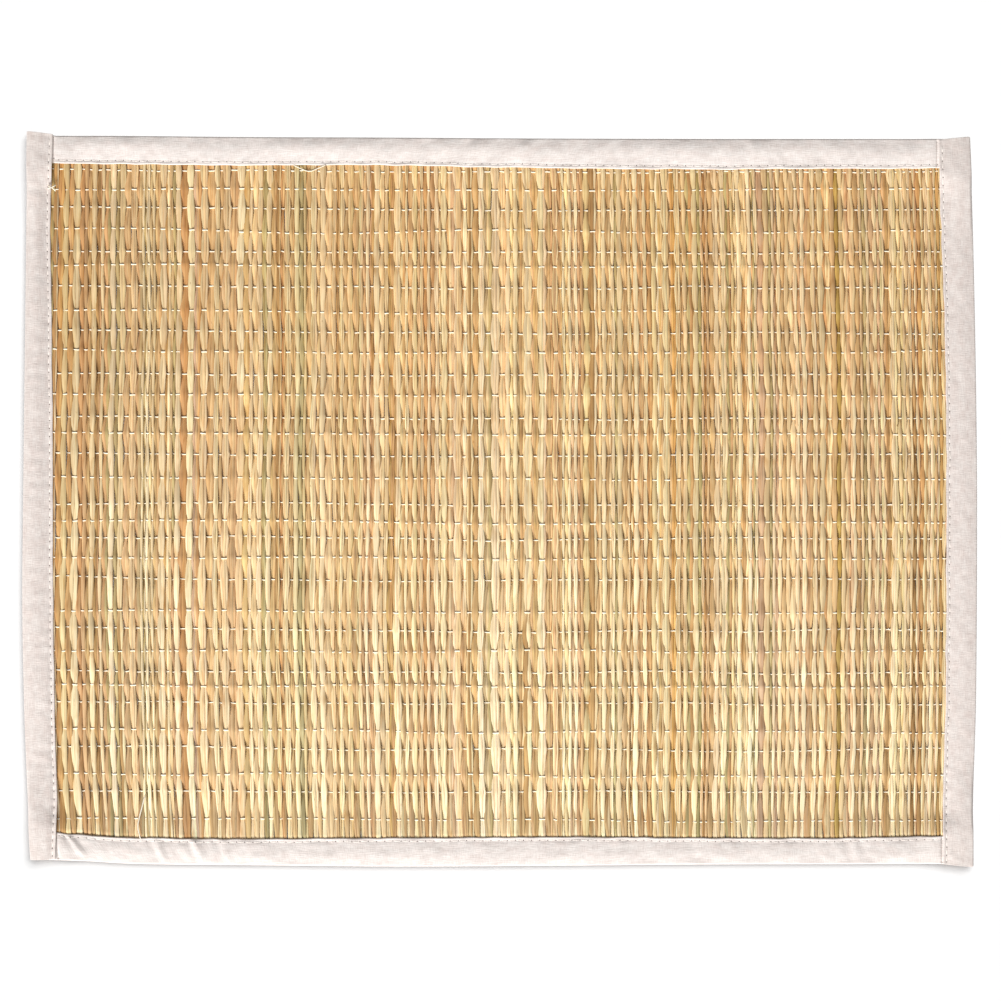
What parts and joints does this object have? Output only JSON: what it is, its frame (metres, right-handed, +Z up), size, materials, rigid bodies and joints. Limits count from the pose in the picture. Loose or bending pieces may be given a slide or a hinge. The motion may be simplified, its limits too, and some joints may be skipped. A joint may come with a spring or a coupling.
{
  "type": "woven rush kitchen placemat",
  "caption": "Rectangular kitchen placemat woven from dry rush stalks on cotton warp threads, with folded cotton tape sewn over every edge.",
  "frame": {"origin": "middle of the mat's outline, on the surface that it lies on", "axes": "+X along the long side, across the stalks; +Y along the stalks, towards the picture's top; +Z up"},
  "size_m": [0.4508, 0.3466, 0.0067],
  "materials": {
    "rush": "dry rush stalks, faint waxy sheen",
    "cotton_tape": "unbleached cotton, matt",
    "cotton_thread": "twisted cotton thread, matt"
  },
  "bodies": {
    "root": {"woven_panel": "rush", "binding_top": "cotton_tape", "binding_bottom": "cotton_tape", "binding_left": "cotton_tape", "binding_right": "cotton_tape"}
  },
  "joints": []
}
